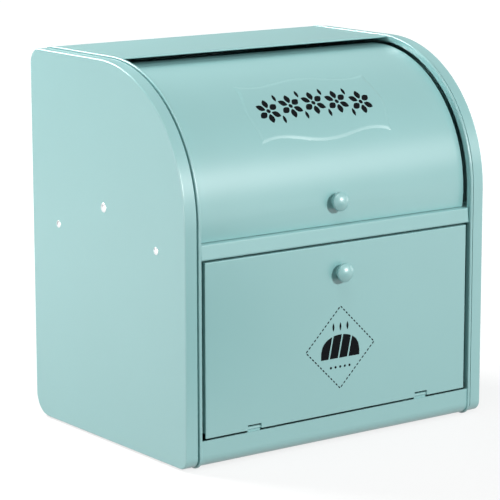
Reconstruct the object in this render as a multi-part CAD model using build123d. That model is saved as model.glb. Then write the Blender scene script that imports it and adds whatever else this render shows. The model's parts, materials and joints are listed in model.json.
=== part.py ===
"""Two-tier metal bread box: a roll-top compartment over a drop-front compartment.

X runs across the front, Y from the front (minus) to the back (plus) and Z upwards.
The pieces are drawn round the middle of the cabinet and saved a little further back, so
that the origin lies on the table under the middle of the whole, knobs included. All sizes
are millimetres.
"""
import os
from math import acos, asin, atan2, cos, degrees, hypot, radians, sin

from build123d import *

os.makedirs("parts", exist_ok=True)

# Overall size of the side outline
box_width = 330.0
box_depth = 242.0
box_height = 338.0
front_arc_radius = 129.0
back_top_radius = 14.0
back_bottom_radius = 20.0
front_bottom_radius = 10.0

# Sheet metal
sheet = 0.8
face_edge_radius = 1.2
body_rise = 0.8

# Side panels: a pressed face, a step wall, a groove and a proud rim
step_depth = 11.7
groove_width = 1.5
groove_depth = 3.6
rim_width = 2.7
rim_proud = 1.5
rim_edge_radius = 1.0

# Body sheet and floor tray
top_lap = 9.0
top_hem = 6.0
hem_nose = 0.7
seam_height = 23.0
tray_draft_height = 74.0
seam_gap = 0.3
weld_flange = 18.0
lip_height = 25.2
lip_hem = 6.0

# Shelf between the two compartments
shelf_below_arc = 16.3
rail_height = 13.7
rail_return = 3.0
rail_side_gap = 0.6
rail_bend = 1.5
rail_lean = 1.4
rail_depth = 4.0
shelf_front_inset = 6.0
shelf_flange = 17.0
shelf_back_gap = 0.2
shelf_rivet_y = 77.5
shelf_rivet_drop = 9.4

# Roll door
roll_pivot_forward = 5.0
roll_pivot_drop = 0.2
roll_recess = 7.0
roll_side_gap = 2.4
roll_rest_gap = 0.4
roll_back_angle = 95.0
roll_hem = 7.0
arm_inset = 0.8
arm_boss = 10.0
arm_weld_width = 8.0
roll_knob_angle = 2.3

# Roll door pivots
pivot_radius = 2.4
pivot_running = 0.08
pivot_side_play = 0.3
pivot_head_radius = 4.2
pivot_head_height = 1.4
pivot_tail_radius = 3.6
spacer_radius = 5.0
washer_radius = 6.0
washer_thickness = 0.8

# Lower door
door_side_gap = 4.2
door_bottom = 27.0
door_top_gap = 1.6
door_flange = 12.0
door_side_flange = 10.0
door_flange_start = 3.0
door_corner = 1.0
door_corner_backing = 0.3
door_knob_drop = 25.0

# Lower hinge
hinge_inset = 51.5
hinge_back = 2.4
hinge_up = 1.2
hinge_pin_radius = 1.0
hinge_running = 0.06
knuckle_radius = 1.6
frame_knuckle = 13.4
door_knuckle = 8.0
knuckle_gap = 0.3
notch_side_gap = 0.6
notch_height = 4.5
frame_leaf_length = 17.0
door_leaf_length = 16.0

# Knobs
knob_head_radius = 8.4
knob_head_height = 6.8
knob_neck_radius = 3.6
knob_neck_height = 3.4
knob_foot_radius = 5.4
knob_foot_height = 1.2
knob_edge_radius = 1.3
knob_crown = 3.9
screw_radius = 2.0
screw_depth = 8.0
screw_depth_in_foot = 2.0
screw_head_radius = 3.8
screw_head_height = 2.2
screw_slot_width = 0.9
screw_slot_depth = 1.0

# Magnetic catch under the shelf
catch_width = 32.0
catch_depth = 12.5
catch_front_gap = 3.4
catch_lower_gap = 0.5
catch_corner = 1.5
catch_rivet_inset = 3.2
magnet_width = 20.0
magnet_depth = 7.0
magnet_inset = 1.4
magnet_height = 6.0
catch_hole_x = 13.0
catch_rivet_radius = 1.2
catch_rivet_head_radius = 2.4
catch_rivet_head_height = 0.9

# Blind rivets
rivet_radius = 1.6
rivet_head_radius = 3.4
rivet_head_height = 1.1
rivet_tail_radius = 2.6
rivet_tail_height = 1.5
mandrel_radius = 0.8
mandrel_dimple = 0.5

# How close two measures count as equal
tolerance = 0.01

# Places that follow from the sizes above
front_y = -box_depth / 2
back_y = box_depth / 2
base_z = rim_proud
top_z = base_z + box_height
side_x = box_width / 2
side_inner_x = side_x - sheet
step_x = side_x - step_depth
rim_outer_x = step_x - groove_width
rim_inner_x = rim_outer_x - rim_width
rim_depth = groove_depth + sheet
roll_arc_y = front_y + front_arc_radius
roll_arc_z = top_z - front_arc_radius
roll_pivot_y = roll_arc_y - roll_pivot_forward
roll_pivot_z = roll_arc_z - roll_pivot_drop
top_front_y = roll_arc_y - top_lap
shelf_top = roll_arc_z - shelf_below_arc
rail_bottom = shelf_top - rail_height
rail_half_width = rim_inner_x - rail_side_gap
door_top = rail_bottom - door_top_gap
door_knob_z = door_top - door_knob_drop
door_half_width = rim_inner_x - door_side_gap
roll_half_width = rim_inner_x - roll_side_gap
hinge_x = door_half_width - hinge_inset
hinge_y = front_y + hinge_back
hinge_z = door_bottom + hinge_up
roll_radius = front_arc_radius - roll_recess
roll_inner = roll_radius - sheet
roll_front_angle = -degrees(asin((roll_arc_z - shelf_top - roll_rest_gap) / roll_radius))
catch_front = front_y + sheet + catch_front_gap
catch_back = catch_front + catch_depth
catch_bottom = door_top + catch_lower_gap
catch_rivet_y = catch_back - catch_rivet_inset
knob_reach = knob_foot_height + knob_neck_height + knob_head_height
origin_shift = (knob_reach - rim_proud) / 2


def profile(offset, x):
    """The side outline, grown by an offset, as a face across X."""
    middle_z = base_z + box_height / 2
    sketch = Rectangle(box_depth + 2 * offset, box_height + 2 * offset)
    radii = {
        (-1, 1): front_arc_radius,
        (1, 1): back_top_radius,
        (1, -1): back_bottom_radius,
        (-1, -1): front_bottom_radius,
    }
    for (side, level), radius in radii.items():
        corner = next(
            v for v in sketch.vertices()
            if abs(v.X - side * (box_depth / 2 + offset)) < tolerance
            and abs(v.Y - level * (box_height / 2 + offset)) < tolerance
        )
        sketch = fillet(corner, radius + offset)
    return Plane.YZ.offset(x) * Pos(0, middle_z) * sketch


def slab(offset, x_from, x_to):
    """A block with the side outline, between two places across the width."""
    return extrude(profile(offset, x_from), amount=x_to - x_from)


def block(x_from, x_to, y_from, y_to, z_from, z_to):
    """A box between two corners."""
    size = Box(x_to - x_from, y_to - y_from, z_to - z_from)
    return Pos((x_from + x_to) / 2, (y_from + y_to) / 2, (z_from + z_to) / 2) * size


def rod(x_from, x_to, y, z, radius):
    """A round bar along X."""
    disc = Plane.YZ.offset(x_from) * Pos(y, z) * Circle(radius)
    return extrude(disc, amount=x_to - x_from)


def mirrored(piece):
    """The same piece on the other side of the box."""
    return mirror(piece, about=Plane.YZ)


def save(piece, name):
    """Writes one sub-part at its place from the shared origin."""
    export_step(Pos(0, origin_shift, 0) * piece, f"parts/{name}.step")


def ring_arc(inner, outer, angle_from, angle_to, x_from, x_to):
    """Part of a tube round the roll door's arc; angles run from the front over the top."""
    tube = rod(x_from, x_to, roll_arc_y, roll_arc_z, outer)
    tube -= rod(x_from - 1, x_to + 1, roll_arc_y, roll_arc_z, inner)
    return tube & wedge(angle_from, angle_to, x_from - 1, x_to + 1, 2 * outer)


def around(angle, radius, y_middle=roll_arc_y, z_middle=roll_arc_z):
    """The place at an angle and a distance from the middle of the roll door's arc."""
    y = y_middle - radius * cos(radians(angle))
    z = z_middle + radius * sin(radians(angle))
    return y, z


def wedge(angle_from, angle_to, x_from, x_to, reach):
    """A pie slice of the roll door's arc."""
    middle = (angle_from + angle_to) / 2
    points = [(roll_arc_y, roll_arc_z)]
    points += [around(a, reach) for a in (angle_from, middle, angle_to)]
    face = make_face(Polyline(*points, close=True))
    return extrude(Plane.YZ.offset(x_from) * face, amount=x_to - x_from)


def side_panel():
    """The right side: face, step wall, groove and rim pressed from one sheet."""
    pan = slab(0, step_x, side_x)
    outer_edges = pan.faces().sort_by(Axis.X)[-1].edges()
    pan = fillet(outer_edges, face_edge_radius)
    pan += slab(-groove_depth, rim_outer_x, step_x)
    rim = slab(rim_proud, rim_inner_x, rim_outer_x)
    rim_edges = rim.faces().sort_by(Axis.X)[-1].edges() + rim.faces().sort_by(Axis.X)[0].edges()
    pan += fillet(rim_edges, rim_edge_radius)
    pan -= slab(-rim_depth, rim_inner_x - 1, step_x + sheet)
    pan -= slab(-sheet, step_x + sheet, side_inner_x)
    for y in (-shelf_rivet_y, shelf_rivet_y):
        pan -= rod(side_inner_x - 1, side_x + 1, y, shelf_top - shelf_rivet_drop, rivet_radius)
    pan -= rod(side_inner_x - 1, side_x + 1, roll_pivot_y, roll_pivot_z, pivot_radius)
    return pan


def body_sheet():
    """The top and the back, bent from one sheet, with a hemmed front edge."""
    half = rim_inner_x
    top = top_z + body_rise
    skin = slab(body_rise, -half, half)
    skin -= slab(body_rise - sheet, -half - 1, half + 1)
    skin &= block(-half, half, top_front_y, back_y + body_rise, seam_height, top)
    hem = slab(body_rise - sheet, -half, half) - slab(body_rise - 2 * sheet, -half - 1, half + 1)
    hem &= block(-half, half, top_front_y, top_front_y + top_hem, top_z / 2, top)
    skin += hem
    nose = skin.edges().filter_by(Axis.X).sort_by(Axis.Y)[:2]
    return fillet(nose, hem_nose)


def floor_tray():
    """The floor, the front lip and the turned-up back edge, bent from one sheet."""
    half = rim_inner_x
    y_back = back_y + body_rise
    depth = y_back - front_y
    height = tray_draft_height

    def tray(offset, x_from, x_to):
        sketch = Rectangle(depth + 2 * offset, height + 2 * offset)
        low = sketch.vertices().group_by(Axis.Y)[0].sort_by(Axis.X)
        sketch = fillet(low[0], front_bottom_radius + offset)
        low = sketch.vertices().sort_by_distance((depth / 2 + offset, -height / 2 - offset))[0]
        sketch = fillet(low, back_bottom_radius + body_rise + offset)
        face = Plane.YZ.offset(x_from) * Pos((front_y + y_back) / 2, base_z + height / 2) * sketch
        return extrude(face, amount=x_to - x_from)

    pan = tray(0, -half, half) - tray(-sheet, -half - 1, half + 1)
    low_part = block(-half, half, front_y, 0, base_z, lip_height)
    low_part += block(-half, half, 0, y_back, base_z, seam_height - seam_gap)
    pan &= low_part
    hem_y = front_y + sheet
    pan += block(-half, half, hem_y, hem_y + sheet, lip_height - lip_hem, lip_height)
    y_weld = y_back - sheet
    weld_bottom = back_bottom_radius + body_rise + base_z
    pan += block(-half, half, y_weld - sheet, y_weld, weld_bottom, weld_bottom + weld_flange)
    return pan


def rail_block():
    """The outside of the shelf's rail: its front leans back and its bends are round."""
    back = front_y + rail_depth + shelf_front_inset
    corners = [
        (front_y, rail_bottom), (front_y + rail_lean, shelf_top), (back, shelf_top), (back, rail_bottom),
    ]
    face = make_face(Polyline(*corners, close=True))
    rail = extrude(Plane.YZ.offset(-rail_half_width) * face, amount=2 * rail_half_width)
    front_face = rail.faces().sort_by(Axis.Y)[0]
    return fillet(front_face.edges(), rail_bend)


def mid_shelf():
    """The shelf with its front rail, side flanges and back flange."""
    y_back = back_y - rim_depth - shelf_back_gap
    z_plate = shelf_top - sheet
    inner_front = front_y + sheet
    inner_bottom = rail_bottom + sheet
    room = [
        (inner_front, inner_bottom), (inner_front + rail_lean, z_plate), (back_y, z_plate),
        (back_y, inner_bottom),
    ]
    hollow = extrude(
        Plane.YZ.offset(sheet - rail_half_width) * make_face(Polyline(*room, close=True)),
        amount=2 * (rail_half_width - sheet),
    )
    rail = rail_block() - hollow
    rail -= block(
        -box_width, box_width, inner_front + rail_return, back_y, 0, inner_bottom + tolerance,
    )
    y_wide = front_y + shelf_front_inset
    half = side_inner_x
    shelf = block(-half, half, y_wide, y_back, z_plate, shelf_top)
    for side in (-1, 1):
        edge = sorted((side * half, side * (half - sheet)))
        shelf += block(edge[0], edge[1], y_wide, y_back, shelf_top - shelf_flange, shelf_top)
    inner = rim_inner_x - 1
    shelf += block(-inner, inner, y_back - sheet, y_back, shelf_top - shelf_flange, shelf_top)
    shelf += rail
    for y in (-shelf_rivet_y, shelf_rivet_y):
        z = shelf_top - shelf_rivet_drop
        shelf -= rod(-side_x, side_x, y, z, rivet_radius)
    for x in (-catch_hole_x, catch_hole_x):
        hole = Cylinder(catch_rivet_radius, 4 * sheet)
        shelf -= Pos(x, catch_rivet_y, z_plate) * hole
    return shelf


def crown_height(radius, crown, distance):
    """The height of a crown at a distance from its middle."""
    ball = (radius ** 2 + crown ** 2) / (2 * crown)
    return crown - ball + (ball ** 2 - distance ** 2) ** 0.5


def domed_head(x, y, z, radius, height):
    """A rivet head that bulges towards plus X from its seat at x."""
    middle = (crown_height(radius, height, radius / 2), radius / 2)
    sides = Polyline((height, 0), (0, 0), (0, radius))
    crown = ThreePointArc((0, radius), middle, (height, 0))
    return Pos(x, y, z) * revolve(make_face([sides, crown]), axis=Axis.X)


def shelf_rivet(y):
    """A blind rivet on the right side, through the side and the shelf flange."""
    z = shelf_top - shelf_rivet_drop
    inner = side_inner_x - sheet
    shank = rod(inner, side_x, y, z, rivet_radius)
    head = domed_head(side_x, y, z, rivet_head_radius, rivet_head_height)
    tail = rod(inner - rivet_tail_height, inner, y, z, rivet_tail_radius)
    dimple = rod(
        side_x + rivet_head_height - mandrel_dimple, side_x + rivet_head_height + 1,
        y, z, mandrel_radius,
    )
    return shank + head + tail - dimple


def pivot_places():
    """Places across the right half at which the pieces of a pivot begin and end."""
    arm_outer = roll_half_width - arm_inset
    arm_inner = arm_outer - sheet
    washer_outer = arm_inner - pivot_side_play
    washer_inner = washer_outer - washer_thickness
    return arm_outer + pivot_side_play, arm_inner, washer_outer, washer_inner


def pivot_rivet():
    """The right pivot of the roll door: head outside, shank through the spacer, tail inside."""
    washer_inner = pivot_places()[3]
    y, z = roll_pivot_y, roll_pivot_z
    pin = rod(washer_inner, side_x, y, z, pivot_radius)
    pin += domed_head(side_x, y, z, pivot_head_radius, pivot_head_height)
    pin += rod(washer_inner - rivet_tail_height, washer_inner, y, z, pivot_tail_radius)
    return pin - rod(
        side_x + pivot_head_height - mandrel_dimple, side_x + pivot_head_height + 1,
        y, z, mandrel_radius,
    )


def pivot_spacer():
    """The tube that keeps the roll door's arm off the side panel."""
    y, z = roll_pivot_y, roll_pivot_z
    tube = rod(pivot_places()[0], side_inner_x, y, z, spacer_radius)
    return tube - rod(0, side_x, y, z, pivot_radius)


def pivot_washer():
    """The washer between the arm and the rivet's tail."""
    y, z = roll_pivot_y, roll_pivot_z
    disc = rod(pivot_places()[3], pivot_places()[2], y, z, washer_radius)
    return disc - rod(0, side_x, y, z, pivot_radius)


def roll_skin():
    """The curved sheet of the roll door, with hems along its lower and back edges."""
    half = roll_half_width
    skin = ring_arc(roll_inner, roll_radius, roll_front_angle, roll_back_angle, -half, half)
    turn = degrees(roll_hem / roll_radius)
    hem_half = half - arm_inset - sheet - arm_weld_width
    low = (roll_front_angle, roll_front_angle + turn)
    back = (roll_back_angle - turn, roll_back_angle)
    for start, stop in (low, back):
        skin += ring_arc(roll_inner - sheet, roll_inner, start, stop, -hem_half, hem_half)
    return skin - knob_hole(True)


def roll_arm():
    """The right arm: a flat sector that carries the skin on the pivot, with a welded edge."""
    arm_outer = roll_half_width - arm_inset
    arm_inner = arm_outer - sheet
    reach = roll_inner
    plate = rod(arm_inner, arm_outer, roll_arc_y, roll_arc_z, reach)
    plate &= wedge(roll_front_angle, roll_back_angle, arm_inner - 1, arm_outer + 1, 2 * reach)
    plate += rod(arm_inner, arm_outer, roll_pivot_y, roll_pivot_z, arm_boss)
    for edge, toward in ((roll_front_angle, -1), (roll_back_angle, 1)):
        y_edge, z_edge = around(edge, reach)
        length = hypot(y_edge - roll_pivot_y, z_edge - roll_pivot_z)
        bearing = degrees(atan2(z_edge - roll_pivot_z, roll_pivot_y - y_edge))
        tangent = bearing + toward * degrees(acos(arm_boss / length))
        y_boss, z_boss = around(tangent, arm_boss, roll_pivot_y, roll_pivot_z)
        corners = [(roll_pivot_y, roll_pivot_z), (y_boss, z_boss), (y_edge, z_edge)]
        face = make_face(Polyline(*corners, close=True))
        plate += extrude(Plane.YZ.offset(arm_inner) * face, amount=sheet)
    weld_inner = arm_outer - sheet - arm_weld_width
    plate += ring_arc(
        roll_inner - sheet, roll_inner, roll_front_angle, roll_back_angle, weld_inner, arm_outer,
    )
    return plate - rod(0, side_x, roll_pivot_y, roll_pivot_z, pivot_radius + pivot_running)


def door_panel():
    """The drop front: a flat sheet with turned-in edges and notches for the hinges."""
    half = door_half_width
    panel = block(-half, half, front_y, front_y + door_side_flange, door_bottom, door_top)
    front_edges = panel.edges().filter_by(Axis.Z).sort_by(Axis.Y)[:2]
    front_edges += panel.edges().filter_by(Axis.X).sort_by(lambda e: e.center().Y - e.center().Z)[:1]
    panel = fillet(front_edges, door_corner)
    panel -= block(
        -half + sheet, half - sheet, front_y + sheet, back_y, 0, door_top,
    )
    panel -= block(
        -side_x, side_x, front_y + sheet + door_corner_backing, back_y, 0, hinge_z + door_flange_start,
    )
    panel += block(
        -half + sheet, half - sheet, front_y + sheet, front_y + door_flange, door_top - sheet, door_top,
    )
    notch_half = frame_knuckle / 2 + notch_side_gap
    for x in (-hinge_x, hinge_x):
        panel -= block(
            x - notch_half, x + notch_half, front_y - 1, hinge_y, 0, door_bottom + notch_height,
        )
    return panel - knob_hole(False)


def frame_leaf(x):
    """The leaf on the front lip, with the middle knuckle."""
    half = frame_knuckle / 2
    y_leaf = front_y + 2 * sheet
    leaf = block(x - half, x + half, y_leaf, y_leaf + sheet, hinge_z - frame_leaf_length, hinge_z)
    leaf += rod(x - half, x + half, hinge_y, hinge_z, knuckle_radius)
    return leaf - rod(x - half - 1, x + half + 1, hinge_y, hinge_z, hinge_pin_radius)


def door_leaf(x):
    """The leaf on the drop front, with a knuckle on each side of the frame's."""
    inner = frame_knuckle / 2 + knuckle_gap
    outer = inner + door_knuckle
    y_leaf = front_y + sheet
    leaf = block(x - outer, x + outer, y_leaf, y_leaf + sheet, hinge_z, hinge_z + door_leaf_length)
    for side in (-1, 1):
        ends = sorted((x + side * inner, x + side * outer))
        leaf += rod(ends[0], ends[1], hinge_y, hinge_z, knuckle_radius)
    notch_half = frame_knuckle / 2 + knuckle_gap
    notch_top = door_bottom + notch_height
    leaf -= block(x - notch_half, x + notch_half, y_leaf - 1, back_y, 0, notch_top)
    return leaf - rod(x - outer - 1, x + outer + 1, hinge_y, hinge_z, hinge_pin_radius + hinge_running)


def hinge_pin(x):
    """The pin, pressed into the frame's knuckle."""
    half = frame_knuckle / 2 + knuckle_gap + door_knuckle
    return rod(x - half, x + half, hinge_y, hinge_z, hinge_pin_radius)


def knob_plane(on_roll):
    """The place and direction of a knob: its X axis points out of the door."""
    if on_roll:
        y, z = around(roll_knob_angle, roll_radius)
        out = (0, -cos(radians(roll_knob_angle)), sin(radians(roll_knob_angle)))
        return Plane(origin=(0, y, z), x_dir=(1, 0, 0), z_dir=out)
    return Plane(origin=(0, front_y, door_knob_z), x_dir=(1, 0, 0), z_dir=(0, -1, 0))


def knob_hole(on_roll):
    """The hole for a knob's screw."""
    return knob_plane(on_roll) * Cylinder(screw_radius, 6 * sheet)


def knob(on_roll):
    """A round pull with a foot, a neck and a crowned head."""
    foot_top = knob_foot_height
    neck_top = foot_top + knob_neck_height
    rim = knob_reach - knob_crown
    crown_y = rim + crown_height(knob_head_radius, knob_crown, knob_head_radius / 2)
    outline = Polyline(
        (0, knob_seat(on_roll)), (knob_foot_radius, knob_seat(on_roll)), (knob_foot_radius, foot_top),
        (knob_neck_radius, foot_top), (knob_neck_radius, neck_top), (knob_head_radius, neck_top),
        (knob_head_radius, rim),
    )
    crown = ThreePointArc((knob_head_radius, rim), (knob_head_radius / 2, crown_y), (0, knob_reach))
    closing = Line((0, knob_reach), (0, knob_seat(on_roll)))
    body = revolve(Plane.XZ * make_face([outline, crown, closing]), axis=Axis.Z)
    sharp = body.edges().filter_by(GeomType.CIRCLE)
    head_edges = [e for e in sharp if abs(e.radius - knob_head_radius) < tolerance]
    body = fillet(head_edges, knob_edge_radius)
    bore_bottom = knob_foot_height + screw_depth - screw_depth_in_foot
    body -= Pos(0, 0, bore_bottom - screw_depth / 2) * Cylinder(screw_radius, screw_depth)
    if on_roll:
        return knob_plane(True) * body - rod(-side_x, side_x, roll_arc_y, roll_arc_z, roll_radius)
    return knob_plane(False) * body


def knob_seat(on_roll):
    """How far a foot reaches down, so that it meets a curved or a flat sheet."""
    sag = roll_radius - (roll_radius ** 2 - knob_foot_radius ** 2) ** 0.5
    return -sag if on_roll else 0


def knob_screw(on_roll):
    """The screw that holds a knob from inside."""
    under = -sheet
    if on_roll:
        under = -sheet - (roll_inner - (roll_inner ** 2 - screw_head_radius ** 2) ** 0.5)
    top = knob_foot_height + screw_depth - screw_depth_in_foot
    shank = Pos(0, 0, (top + under) / 2) * Cylinder(screw_radius, top - under)
    head = Pos(0, 0, under - screw_head_height / 2) * Cylinder(screw_head_radius, screw_head_height)
    slot_z = under - screw_head_height + screw_slot_depth / 2
    slot = Pos(0, 0, slot_z) * Box(2 * screw_head_radius + 1, screw_slot_width, screw_slot_depth)
    screw = shank + head - slot
    return knob_plane(on_roll) * screw


def catch_case():
    """The plastic case of the catch, under the shelf behind the rail."""
    half = catch_width / 2
    case = block(
        -half, half, catch_front, catch_back, catch_bottom, shelf_top - sheet,
    )
    case = fillet(case.edges().filter_by(Axis.Z), catch_corner)
    case -= magnet_block()
    for x in (-catch_hole_x, catch_hole_x):
        case -= Pos(x, catch_rivet_y, shelf_top) * Cylinder(catch_rivet_radius, box_height / 2)
    return case


def magnet_block():
    """The magnet, open to the turned-in top edge of the door below it."""
    half = magnet_width / 2
    y_from = catch_front + magnet_inset
    return block(
        -half, half, y_from, y_from + magnet_depth, catch_bottom, catch_bottom + magnet_height,
    )


def catch_rivet(x):
    """A rivet through the shelf and the catch case."""
    length = shelf_top - catch_bottom
    shank = Pos(x, catch_rivet_y, catch_bottom + length / 2) * Cylinder(catch_rivet_radius, length)
    head_z = shelf_top + catch_rivet_head_height / 2
    head = Pos(x, catch_rivet_y, head_z) * Cylinder(catch_rivet_head_radius, catch_rivet_head_height)
    return shank + head


print("sheet metal of the cabinet")
right_side = side_panel()
save(right_side, "side_panel_right")
save(mirrored(right_side), "side_panel_left")
save(body_sheet(), "body_sheet")
save(floor_tray(), "floor_tray")
save(mid_shelf(), "mid_shelf")

print("rivets and pivots")
right_rivets = shelf_rivet(-shelf_rivet_y) + shelf_rivet(shelf_rivet_y)
save(right_rivets, "shelf_rivets_right")
save(mirrored(right_rivets), "shelf_rivets_left")
for name, piece in (("rivet", pivot_rivet()), ("spacer", pivot_spacer()), ("washer", pivot_washer())):
    save(piece, f"pivot_{name}_right")
    save(mirrored(piece), f"pivot_{name}_left")

print("roll door")
save(roll_skin(), "roll_door_skin")
right_arm = roll_arm()
save(right_arm, "roll_door_arm_right")
save(mirrored(right_arm), "roll_door_arm_left")
save(knob(True), "roll_door_knob")
save(knob_screw(True), "roll_door_knob_screw")

print("drop front and its hinges")
save(door_panel(), "drop_door_panel")
save(knob(False), "drop_door_knob")
save(knob_screw(False), "drop_door_knob_screw")
for side, x in (("left", -hinge_x), ("right", hinge_x)):
    save(frame_leaf(x), f"frame_hinge_leaf_{side}")
    save(door_leaf(x), f"door_hinge_leaf_{side}")
    save(hinge_pin(x), f"hinge_pin_{side}")

print("magnetic catch")
save(catch_case(), "catch_case")
save(magnet_block(), "catch_magnet")
save(catch_rivet(-catch_hole_x) + catch_rivet(catch_hole_x), "catch_rivets")
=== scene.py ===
import json
from math import cos, pi, radians, sin

import bmesh
import bpy
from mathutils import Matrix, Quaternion, Vector
from mathutils.geometry import interpolate_bezier
from mathutils.kdtree import KDTree


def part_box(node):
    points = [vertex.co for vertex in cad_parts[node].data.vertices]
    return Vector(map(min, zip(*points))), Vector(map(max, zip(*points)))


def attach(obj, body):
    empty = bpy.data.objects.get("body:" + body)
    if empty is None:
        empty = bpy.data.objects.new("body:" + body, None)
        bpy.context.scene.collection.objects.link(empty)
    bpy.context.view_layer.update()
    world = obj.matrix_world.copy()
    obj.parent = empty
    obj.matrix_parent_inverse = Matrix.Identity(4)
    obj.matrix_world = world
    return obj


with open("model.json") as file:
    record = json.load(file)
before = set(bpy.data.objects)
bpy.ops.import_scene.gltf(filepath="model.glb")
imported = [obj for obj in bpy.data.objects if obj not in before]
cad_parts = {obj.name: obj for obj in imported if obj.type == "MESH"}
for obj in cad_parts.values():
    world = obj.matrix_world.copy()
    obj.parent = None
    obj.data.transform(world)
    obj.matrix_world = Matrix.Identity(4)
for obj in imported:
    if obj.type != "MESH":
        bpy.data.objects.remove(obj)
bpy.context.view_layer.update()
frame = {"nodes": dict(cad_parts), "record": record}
mm = 0.001

# places that the frame gives, with the outer radius of the roll door's sheet
rollRadius = 122.0 * mm
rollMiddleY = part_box("roll_door_skin")[0].y + rollRadius
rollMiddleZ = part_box("roll_door_skin")[1].z - rollRadius
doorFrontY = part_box("drop_door_panel")[0].y
cabinetMiddleY = (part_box("side_panel_left")[0].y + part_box("side_panel_left")[1].y) / 2


def newMaterial(name, look):
    material = bpy.data.materials.new(name)
    material.use_nodes = True
    tree = material.node_tree
    shader = tree.nodes["Principled BSDF"]
    shader.inputs["Base Color"].default_value = (*look["color"], 1)
    shader.inputs["Roughness"].default_value = look["roughness"][0]
    shader.inputs["Metallic"].default_value = look["metallic"]
    shader.inputs["IOR"].default_value = look["ior"]
    material.diffuse_color = (*look["color"], 1)
    return material, tree, shader


def noiseOn(tree, scale, detail, stretch=(1, 1, 1)):
    place = tree.nodes.new("ShaderNodeTexCoord")
    mapping = tree.nodes.new("ShaderNodeMapping")
    mapping.inputs["Scale"].default_value = stretch
    noise = tree.nodes.new("ShaderNodeTexNoise")
    noise.inputs["Scale"].default_value = scale
    noise.inputs["Detail"].default_value = detail
    tree.links.new(place.outputs["Object"], mapping.inputs["Vector"])
    tree.links.new(mapping.outputs["Vector"], noise.inputs["Vector"])
    return noise.outputs["Fac"]


def rampOf(tree, value, low, high, start=0.3, end=0.7):
    ramp = tree.nodes.new("ShaderNodeValToRGB")
    ramp.color_ramp.elements[0].position = start
    ramp.color_ramp.elements[0].color = (*low, 1)
    ramp.color_ramp.elements[1].position = end
    ramp.color_ramp.elements[1].color = (*high, 1)
    tree.links.new(value, ramp.inputs["Fac"])
    return ramp.outputs["Color"]


def grey(level):
    return (level, level, level)


def varyFinish(tree, shader, value, look):  # colour and gloss change together
    darker, paler = [tuple(c * shade for c in look["color"]) for shade in look["shades"]]
    tree.links.new(rampOf(tree, value, darker, paler), shader.inputs["Base Color"])
    glossy, duller = [grey(level) for level in look["roughness"]]
    tree.links.new(rampOf(tree, value, glossy, duller), shader.inputs["Roughness"])


def bumpFrom(tree, shader, value, strength, depth):
    bump = tree.nodes.new("ShaderNodeBump")
    bump.inputs["Strength"].default_value = strength
    bump.inputs["Distance"].default_value = depth
    tree.links.new(value, bump.inputs["Height"])
    tree.links.new(bump.outputs["Normal"], shader.inputs["Normal"])


# pale aqua powder coat, satin, with a fine orange peel
powderCoat = {
    "color": (0.255, 0.500, 0.497),
    "shades": (0.988, 1.012),
    "roughness": (0.29, 0.31),
    "metallic": 0.0,
    "ior": 2.0,
    "cloudScale": 9.0,
    "cloudDetail": 3.0,
    "peelScale": 240.0,
    "peelDetail": 0.0,
    "peelStrength": 0.03,
    "peelDepth": 0.02 * mm,
}
knobEnamel = {**powderCoat, "roughness": (0.36, 0.38)}


def makeEnamel(name, look):
    material, tree, shader = newMaterial(name, look)
    cloud = noiseOn(tree, look["cloudScale"], look["cloudDetail"])
    varyFinish(tree, shader, cloud, look)
    peel = noiseOn(tree, look["peelScale"], look["peelDetail"])
    bumpFrom(tree, shader, peel, look["peelStrength"], look["peelDepth"])
    return material


# finishes whose colour, gloss and bump all follow one fine grain
bareMetal = {
    "shades": (0.9, 1.0),
    "metallic": 1.0,
    "ior": 1.5,
    "detail": 4.0,
    "stretch": (1, 1, 1),
    "bump": 0.15,
    "depth": 0.02 * mm,
}
flatBlack = {
    "shades": (1.0, 1.6),
    "metallic": 0.0,
    "detail": 3.0,
    "stretch": (1, 1, 1),
    "bump": 0.12,
    "depth": 0.02 * mm,
}
rivetAluminium = {
    **bareMetal,
    "color": (0.88, 0.89, 0.90),
    "roughness": (0.24, 0.36),
    "grain": 1400.0,
}
zincSteel = {
    **bareMetal,
    "color": (0.56, 0.57, 0.59),
    "roughness": (0.28, 0.45),
    "grain": 700.0,
    "stretch": (1, 1, 6),
}
ferrite = {
    **bareMetal,
    "color": (0.035, 0.035, 0.04),
    "roughness": (0.45, 0.60),
    "grain": 1100.0,
}
darkPlastic = {
    **flatBlack,
    "color": (0.012, 0.012, 0.013),
    "roughness": (0.42, 0.55),
    "grain": 900.0,
    "ior": 1.45,
}
printInk = {
    **flatBlack,
    "color": (0.004, 0.005, 0.006),
    "roughness": (0.46, 0.54),
    "grain": 600.0,
    "ior": 1.12,
}


def makeGrained(name, look):
    material, tree, shader = newMaterial(name, look)
    grain = noiseOn(tree, look["grain"], look["detail"], look["stretch"])
    varyFinish(tree, shader, grain, look)
    bumpFrom(tree, shader, grain, look["bump"], look["depth"])
    return material


print("finishes")
finishes = {
    "powder_coat": makeEnamel("powderCoat", powderCoat),
    "knob_coat": makeEnamel("knobEnamel", knobEnamel),
    "rivet_metal": makeGrained("rivetAluminium", rivetAluminium),
    "plain_steel": makeGrained("zincSteel", zincSteel),
    "dark_plastic": makeGrained("darkPlastic", darkPlastic),
    "magnet": makeGrained("ferrite", ferrite),
}
ink = makeGrained("printInk", printInk)

slotOfNode = {part["node"]: part["material_slot"] for part in frame["record"]["subparts"]}
for name, node in frame["nodes"].items():
    node.data.materials.clear()
    node.data.materials.append(finishes[slotOfNode[name]])


# a flat drawing has x to the right, y up the door and z out of it
def onDropDoor(point):
    return Vector((point.x, doorFrontY - point.z, point.y))


def onRollDoor(point):  # y is the length along the curve from its vertical part
    angle = point.y / rollRadius
    reach = rollRadius + point.z
    return Vector((point.x, rollMiddleY - reach * cos(angle), rollMiddleZ + reach * sin(angle)))


cutTolerance = 1e-7


def allOf(bm):
    return bm.verts[:] + bm.edges[:] + bm.faces[:]


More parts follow.
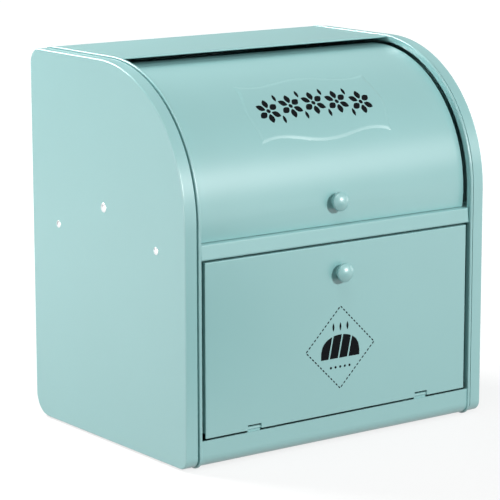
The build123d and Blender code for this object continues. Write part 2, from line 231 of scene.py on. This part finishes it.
def addOutline(bm, points):
    face = bm.faces.new([bm.verts.new((x, y, 0)) for x, y in points])
    face.normal_update()
    if face.normal.z < 0:
        face.normal_flip()
    return face


def cutInStrips(bm, step, across=(0, 1, 0)):  # so that a flat drawing can bend
    normal = Vector(across)
    levels = [v.co.dot(normal) for v in bm.verts]
    level, top = min(levels) + step, max(levels)
    while level < top:
        bmesh.ops.bisect_plane(
            bm, geom=allOf(bm), plane_co=normal * level, plane_no=normal, dist=cutTolerance
        )
        level += step


def finishPiece(name, bm, body, material, lay):
    for vert in bm.verts:
        vert.co = lay(vert.co)
    bmesh.ops.recalc_face_normals(bm, faces=bm.faces)
    mesh = bpy.data.meshes.new(name)
    bm.to_mesh(mesh)
    bm.free()
    piece = bpy.data.objects.new(name, mesh)
    bpy.context.collection.objects.link(piece)
    mesh.materials.append(material)
    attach(piece, body)
    return piece


# the embossed panel on the roll door, a raised field with a soft edge
plaque = {
    "middleArc": 93.0 * mm,
    "middleX": 3.0 * mm,
    "crest": 35.0 * mm,
    "cornerX": 73.0 * mm,
    "cornerY": 32.5 * mm,
    "sideX": 76.0 * mm,
    "dip": 22.0 * mm,
    "waist": 68.5 * mm,
    "crestPull": 0.38,  # the pulls shape the edge's curves, in parts of cornerX and cornerY
    "dipPull": 0.62,
    "waistPull": 0.72,
    "sidePull": 0.35,
    "curveSteps": 22,
    "edgeSteps": 16,
    "bevelWidth": 3.4 * mm,
    "height": 0.70 * mm,
    "skirt": 0.1 * mm,  # how far the outermost points sink into the sheet
    "cell": 1.1 * mm,
}


def plaqueOutline():
    crest = Vector((0, plaque["crest"]))
    corner = Vector((plaque["cornerX"], plaque["cornerY"]))
    side = Vector((plaque["sideX"], 0))
    crestPull = Vector((plaque["crestPull"] * plaque["cornerX"], plaque["crest"]))
    dipPull = Vector((plaque["dipPull"] * plaque["cornerX"], plaque["dip"]))
    waistPull = Vector((plaque["waist"], plaque["waistPull"] * plaque["cornerY"]))
    sidePull = Vector((plaque["sideX"], plaque["sidePull"] * plaque["cornerY"]))
    quarter = interpolate_bezier(crest, crestPull, dipPull, corner, plaque["curveSteps"])
    quarter += interpolate_bezier(corner, waistPull, sidePull, side, plaque["curveSteps"])[1:]
    right = quarter + [Vector((p.x, -p.y)) for p in reversed(quarter[:-1])]
    return right + [Vector((-p.x, p.y)) for p in reversed(right[1:-1])]


print("embossed panel")
bm = bmesh.new()
outline = plaqueOutline()
addOutline(bm, [(p.x, p.y) for p in outline])
bmesh.ops.triangulate(bm, faces=bm.faces)
cutInStrips(bm, plaque["cell"])
cutInStrips(bm, plaque["cell"], (1, 0, 0))
edgeSpots = [
    here.lerp(after, step / plaque["edgeSteps"])
    for here, after in zip(outline, outline[1:] + outline[:1])
    for step in range(plaque["edgeSteps"])
]
edgeTree = KDTree(len(edgeSpots))
for index, spot in enumerate(edgeSpots):
    edgeTree.insert((spot.x, spot.y, 0), index)
edgeTree.balance()
for vert in bm.verts:  # each point rises with its distance from the edge
    gap = edgeTree.find((vert.co.x, vert.co.y, 0))[2]
    share = min(gap / plaque["bevelWidth"], 1)
    vert.co.z = plaque["height"] * (0.5 - 0.5 * cos(pi * share))
    if gap < plaque["skirt"]:
        vert.co.z = -plaque["skirt"]
bmesh.ops.translate(bm, verts=bm.verts, vec=(plaque["middleX"], plaque["middleArc"], 0))
panel = finishPiece(
    "embossed_panel", bm, "roll_door", finishes["powder_coat"], onRollDoor
)
panel.data.shade_smooth()


def addPrint(bm, points, thickness):
    face = addOutline(bm, points)
    made = bmesh.ops.extrude_face_region(bm, geom=[face])
    top = [v for v in made["geom"] if isinstance(v, bmesh.types.BMVert)]
    bmesh.ops.translate(bm, verts=top, vec=(0, 0, thickness))


leafBlunt = 0.8  # 1 gives a leaf the sides of a sine wave, and less makes it fuller


def leafPoints(x, y, length, width, turn, steps=9):  # a pointed leaf that starts at x, y
    side = []
    for i in range(steps + 1):
        side.append((length * i / steps, width / 2 * sin(pi * i / steps) ** leafBlunt))
    ring = side + [(u, -v) for u, v in reversed(side[1:-1])]
    return [(x + u * cos(turn) - v * sin(turn), y + u * sin(turn) + v * cos(turn)) for u, v in ring]


def circlePoints(x, y, radius, corners):
    turns = [2 * pi * i / corners for i in range(corners)]
    return [(x + radius * cos(turn), y + radius * sin(turn)) for turn in turns]


# a row of flowers on the panel, with leaves above and below between them
flowerRow = {
    "thickness": 0.03 * mm,
    "strip": 2.5 * mm,
    "middleX": 2.0 * mm,
    "middleArc": 96.0 * mm,
    "flowers": 5,
    "spacing": 25.5 * mm,
    "sag": 4.0 * mm,
    "petals": 6,
    "petalStart": 3.0 * mm,
    "petalLength": 9.4 * mm,
    "petalWidth": 6.0 * mm,
    "eye": 2.1 * mm,
    "eyeCorners": 20,
    "leafStart": 7.5 * mm,
    "leafLength": 8.0 * mm,
    "leafWidth": 3.4 * mm,
}


def rowPlace(offset):  # offset counts flowers from the middle of the row
    reach = (flowerRow["flowers"] - 1) / 2
    x = flowerRow["middleX"] + offset * flowerRow["spacing"]
    return x, flowerRow["middleArc"] - flowerRow["sag"] * (offset / reach) ** 2


def addFlower(bm, x, y):
    start = flowerRow["petalStart"]
    length, width = flowerRow["petalLength"], flowerRow["petalWidth"]
    for petal in range(flowerRow["petals"]):
        turn = 2 * pi * (petal + 0.5) / flowerRow["petals"]
        points = leafPoints(x + start * cos(turn), y + start * sin(turn), length, width, turn)
        addPrint(bm, points, flowerRow["thickness"])
    eye = circlePoints(x, y, flowerRow["eye"], flowerRow["eyeCorners"])
    addPrint(bm, eye, flowerRow["thickness"])


def addLeafPair(bm, x, y):
    length, width = flowerRow["leafLength"], flowerRow["leafWidth"]
    for side in (-1, 1):
        foot = y + side * flowerRow["leafStart"]
        points = leafPoints(x, foot, length, width, side * pi / 2)
        addPrint(bm, points, flowerRow["thickness"])


print("printed ornaments")
bm = bmesh.new()
firstPlace = -(flowerRow["flowers"] - 1) / 2
for flower in range(flowerRow["flowers"]):
    addFlower(bm, *rowPlace(firstPlace + flower))
for gap in range(flowerRow["flowers"] - 1):
    addLeafPair(bm, *rowPlace(firstPlace + gap + 0.5))
bmesh.ops.translate(bm, verts=bm.verts, vec=(0, 0, plaque["height"]))
cutInStrips(bm, flowerRow["strip"])
finishPiece("panel_print", bm, "roll_door", ink, onRollDoor)

# a loaf in a lozenge of small dashes on the drop front, with leaves over it and dots under it
doorPrint = {
    "thickness": 0.04 * mm,
    "middleZ": 86.0 * mm,
    "halfWidth": 38.0 * mm,
    "halfHeight": 37.0 * mm,
    "dashes": 13,
    "dashStart": 0.25,  # in parts of the way from one dash to the next
    "dashLength": 3.2 * mm,
    "dashWidth": 1.3 * mm,
    "dashSteps": 5,
    "dots": 5,
    "dotSpacing": 5.2 * mm,
    "dotY": -17.5 * mm,
    "dotRadius": 1.2 * mm,
    "dotCorners": 12,
    "leaves": 3,
    "leafSpacing": 7.8 * mm,
    "leafY": 15.0 * mm,
    "leafLength": 7.5 * mm,
    "leafWidth": 2.2 * mm,
}
loaf = {
    "width": 43.0 * mm,
    "height": 21.0 * mm,
    "foot": 0.45,  # the share of the height that is below the lozenge's middle
    "dome": 0.62,  # 1 is a half ellipse, and less is squarer
    "domeSteps": 32,
    "cuts": (-10.5 * mm, 0.0, 10.5 * mm),
    "cutWidth": 1.5 * mm,
    "cutLean": 4.5 * mm,
}


def addLozenge(bm):
    right, top = Vector((doorPrint["halfWidth"], 0)), Vector((0, doorPrint["halfHeight"]))
    corners = [right, top, -right, -top]
    length, width = doorPrint["dashLength"], doorPrint["dashWidth"]
    for start, end in zip(corners, corners[1:] + corners[:1]):
        run = end - start
        turn = -Vector((1, 0)).angle_signed(run)
        for dash in range(doorPrint["dashes"]):
            spot = start + run * ((dash + doorPrint["dashStart"]) / doorPrint["dashes"])
            points = leafPoints(spot.x, spot.y, length, width, turn, doorPrint["dashSteps"])
            addPrint(bm, points, doorPrint["thickness"])


def crustPoints():
    foot = -loaf["foot"] * loaf["height"]
    points = []
    for step in range(loaf["domeSteps"] + 1):
        turn = pi * step / loaf["domeSteps"]
        rise = loaf["height"] * max(sin(turn), 0) ** loaf["dome"]
        points.append((loaf["width"] / 2 * cos(turn), foot + rise))
    return points


def addLoaf(bm):  # three slanting scores part the crust, so it is drawn as four slices
    lean = Vector((loaf["height"], -loaf["cutLean"], 0)).normalized()
    edges = [-loaf["width"] / 2, *loaf["cuts"], loaf["width"] / 2]
    for left, right in zip(edges[:-1], edges[1:]):
        part = bmesh.new()
        addPrint(part, crustPoints(), doorPrint["thickness"])
        for x, side in ((left, -1), (right, 1)):
            scored = abs(x) < loaf["width"] / 2
            inset = loaf["cutWidth"] / 2 if scored else -loaf["cutWidth"]
            bmesh.ops.bisect_plane(
                part, geom=allOf(part), plane_co=(x - side * inset, 0, 0),
                plane_no=lean * side, clear_outer=scored, dist=cutTolerance,
            )
        bmesh.ops.holes_fill(part, edges=[e for e in part.edges if e.is_boundary])
        spare = bpy.data.meshes.new("slice")
        part.to_mesh(spare)
        part.free()
        bm.from_mesh(spare)
        bpy.data.meshes.remove(spare)


def addDots(bm):
    for dot in range(doorPrint["dots"]):
        x = (dot - (doorPrint["dots"] - 1) / 2) * doorPrint["dotSpacing"]
        points = circlePoints(x, doorPrint["dotY"], doorPrint["dotRadius"], doorPrint["dotCorners"])
        addPrint(bm, points, doorPrint["thickness"])


def addLeaves(bm):
    length, width = doorPrint["leafLength"], doorPrint["leafWidth"]
    for leaf in range(doorPrint["leaves"]):
        x = (leaf - (doorPrint["leaves"] - 1) / 2) * doorPrint["leafSpacing"]
        points = leafPoints(x, doorPrint["leafY"], length, width, pi / 2)
        addPrint(bm, points, doorPrint["thickness"])


bm = bmesh.new()
addLozenge(bm)
addLoaf(bm)
addDots(bm)
addLeaves(bm)
bmesh.ops.translate(bm, verts=bm.verts, vec=(0, doorPrint["middleZ"], 0))
finishPiece("door_print", bm, "drop_door", ink, onDropDoor)


def mathOf(tree, operation, first, second):
    node = tree.nodes.new("ShaderNodeMath")
    node.operation = operation
    node.use_clamp = True
    tree.links.new(first, node.inputs[0])
    tree.links.new(second, node.inputs[1])
    return node.outputs[0]


def mixOf(tree, share, first, second):
    mix = tree.nodes.new("ShaderNodeMixShader")
    tree.links.new(share, mix.inputs["Fac"])
    tree.links.new(first.outputs[0], mix.inputs[1])
    tree.links.new(second.outputs[0], mix.inputs[2])
    return mix


def seenRays(tree, path):  # 1 for rays from the camera and from glossy and clear surfaces
    seen = path.outputs["Is Camera Ray"]
    for name in ("Is Glossy Ray", "Is Transmission Ray"):
        seen = mathOf(tree, "ADD", seen, path.outputs[name])
    return seen


def roundFade(tree, half, middle=(0, 0), turn=0.0):  # 1 in the middle and 0 at the rim
    place = tree.nodes.new("ShaderNodeTexCoord")
    spot = tree.nodes.new("ShaderNodeMapping")
    spot.vector_type = "TEXTURE"
    spot.inputs["Location"].default_value = (*middle, 0)
    spot.inputs["Rotation"].default_value = (0, 0, turn)
    spot.inputs["Scale"].default_value = (*half, 1)
    fade = tree.nodes.new("ShaderNodeTexGradient")
    fade.gradient_type = "SPHERICAL"
    tree.links.new(place.outputs["Object"], spot.inputs["Vector"])
    tree.links.new(spot.outputs["Vector"], fade.inputs["Vector"])
    return fade.outputs["Fac"]


# a white table whose glow fills the background, with a darker place that only the gloss sees
table = {
    "size": 30.0,
    "diffuse": 0.22,
    "glow": 0.765,  # near the object, where its shadow shows
    "farGlow": 1.0,
    "nearHalf": (1.6, 1.6),
    "nearFade": 0.7,
    "darkMiddle": (0.10, -0.76),
    "darkTurn": radians(-56.5),
    "darkHalf": (0.62, 0.30),
    "darkFade": 0.4,
}


def makeTable():
    material = bpy.data.materials.new("paleTable")
    material.use_nodes = True
    tree = material.node_tree
    tree.nodes.clear()
    out = tree.nodes.new("ShaderNodeOutputMaterial")
    path = tree.nodes.new("ShaderNodeLightPath")

    near = roundFade(tree, table["nearHalf"])
    glow = rampOf(tree, near, grey(table["farGlow"]), grey(table["glow"]), 0.0, table["nearFade"])
    power = mathOf(tree, "MULTIPLY", seenRays(tree, path), glow)
    shine = tree.nodes.new("ShaderNodeEmission")
    tree.links.new(power, shine.inputs["Strength"])
    matte = tree.nodes.new("ShaderNodeBsdfDiffuse")
    matte.inputs["Color"].default_value = (*grey(table["diffuse"]), 1)
    both = tree.nodes.new("ShaderNodeAddShader")
    tree.links.new(shine.outputs[0], both.inputs[0])
    tree.links.new(matte.outputs[0], both.inputs[1])

    spot = roundFade(tree, table["darkHalf"], table["darkMiddle"], table["darkTurn"])
    darkness = rampOf(tree, spot, grey(0), grey(1), 0.0, table["darkFade"])
    glossOnly = mathOf(tree, "MULTIPLY", path.outputs["Is Glossy Ray"], darkness)
    dark = tree.nodes.new("ShaderNodeEmission")
    dark.inputs["Strength"].default_value = 0.0
    whole = mixOf(tree, glossOnly, both, dark)
    tree.links.new(whole.outputs[0], out.inputs["Surface"])
    return material


# the world in three strengths: what lights the object, what its gloss sees, and what the
# camera sees; the gloss sees it darker low behind the object than in front and high up
surround = {
    "light": 0.26,
    "backGloss": 0.36,
    "frontGloss": 0.72,
    "towardsFront": (0, -0.5, 1),
    "glossFade": 0.45,
    "seen": 1.0,
}


def makeSurround():
    world = bpy.data.worlds.new("studio")
    world.use_nodes = True
    tree = world.node_tree
    tree.nodes.clear()
    out = tree.nodes.new("ShaderNodeOutputWorld")
    path = tree.nodes.new("ShaderNodeLightPath")

    dim = tree.nodes.new("ShaderNodeBackground")
    dim.inputs["Strength"].default_value = surround["light"]
    place = tree.nodes.new("ShaderNodeTexCoord")
    front = tree.nodes.new("ShaderNodeVectorMath")
    front.operation = "DOT_PRODUCT"
    front.inputs[1].default_value = surround["towardsFront"]
    tree.links.new(place.outputs["Generated"], front.inputs[0])
    back, fore = grey(surround["backGloss"]), grey(surround["frontGloss"])
    gloss = rampOf(tree, front.outputs["Value"], back, fore, 0.0, surround["glossFade"])
    mirrored = tree.nodes.new("ShaderNodeBackground")
    tree.links.new(gloss, mirrored.inputs["Color"])
    bright = tree.nodes.new("ShaderNodeBackground")
    bright.inputs["Strength"].default_value = surround["seen"]

    lit = mixOf(tree, seenRays(tree, path), dim, mirrored)
    whole = mixOf(tree, path.outputs["Is Camera Ray"], lit, bright)
    tree.links.new(whole.outputs[0], out.inputs["Surface"])
    return world


print("table and surround")
bm = bmesh.new()
bmesh.ops.create_grid(bm, x_segments=1, y_segments=1, size=table["size"])
tableMesh = bpy.data.meshes.new("table")
bm.to_mesh(tableMesh)
bm.free()
tableTop = bpy.data.objects.new("table", tableMesh)
bpy.context.collection.objects.link(tableTop)
tableMesh.materials.append(makeTable())
bpy.context.scene.world = makeSurround()

# azimuth 0 is straight in front and plus turns to the right, as for the camera
lampAimZ = 170.0 * mm
lamps = {
    "keyLamp": {  # far away and small, so that the knobs' shadows are crisp
        "azimuth": 14.0, "elevation": 20.0, "distance": 4.0,
        "size": (0.32, 0.32), "power": 110.0,
    },
    "bandSoftbox": {
        "azimuth": 39.0, "elevation": 19.0, "distance": 1.15,
        "size": (0.48, 0.30), "power": 0.55,
    },
    "leftSoftbox": {
        "azimuth": -92.0, "elevation": 5.0, "distance": 1.6,
        "size": (1.2, 0.55), "power": 10.2,
    },
    "rightSoftbox": {
        "azimuth": 97.0, "elevation": 5.0, "distance": 1.6,
        "size": (1.2, 0.55), "power": 7.5,
    },
    "overheadLamp": {
        "azimuth": -34.0, "elevation": 62.0, "distance": 1.6,
        "size": (0.5, 0.5), "power": 4.5,
    },
    "backSoftbox": {
        "azimuth": -152.0, "elevation": 40.0, "distance": 1.6,
        "size": (0.7, 0.7), "power": 34.0,
    },
}


def directionTo(azimuth, elevation):
    a, e = radians(azimuth), radians(elevation)
    return Vector((sin(a) * cos(e), -cos(a) * cos(e), sin(e)))


print("lamps")
lampAim = Vector((0, cabinetMiddleY, lampAimZ))
for name, lamp in lamps.items():
    light = bpy.data.lights.new(name, "AREA")
    light.shape = "RECTANGLE"
    light.size, light.size_y = lamp["size"]
    light.energy = lamp["power"]
    lightObject = bpy.data.objects.new(name, light)
    away = directionTo(lamp["azimuth"], lamp["elevation"])
    lightObject.location = lampAim + away * lamp["distance"]
    lightObject.rotation_mode = "QUATERNION"
    lightObject.rotation_quaternion = away.to_track_quat("Z", "Y")
    bpy.context.collection.objects.link(lightObject)

view = {
    "azimuth": -36.323,
    "elevation": 11.280,
    "roll": -0.101,
    "distance": 2156.2 * mm,
    "aimX": -9.26 * mm,
    "aimZ": 154.74 * mm,
    "lens": 170.55,  # Blender takes the lens and the sensor in millimetres
    "sensor": 36.0,
}
print("camera")
cameraData = bpy.data.cameras.new("camera")
cameraData.sensor_width = view["sensor"]
cameraData.lens = view["lens"]
camera = bpy.data.objects.new("camera", cameraData)
bpy.context.collection.objects.link(camera)
aim = Vector((view["aimX"], cabinetMiddleY, view["aimZ"]))
away = directionTo(view["azimuth"], view["elevation"])
roll = Quaternion((0, 0, 1), radians(view["roll"]))
camera.location = aim + away * view["distance"]
camera.rotation_mode = "QUATERNION"
camera.rotation_quaternion = (-away).to_track_quat("-Z", "Y") @ roll
bpy.context.scene.camera = camera
bpy.context.scene.view_settings.view_transform = "Standard"
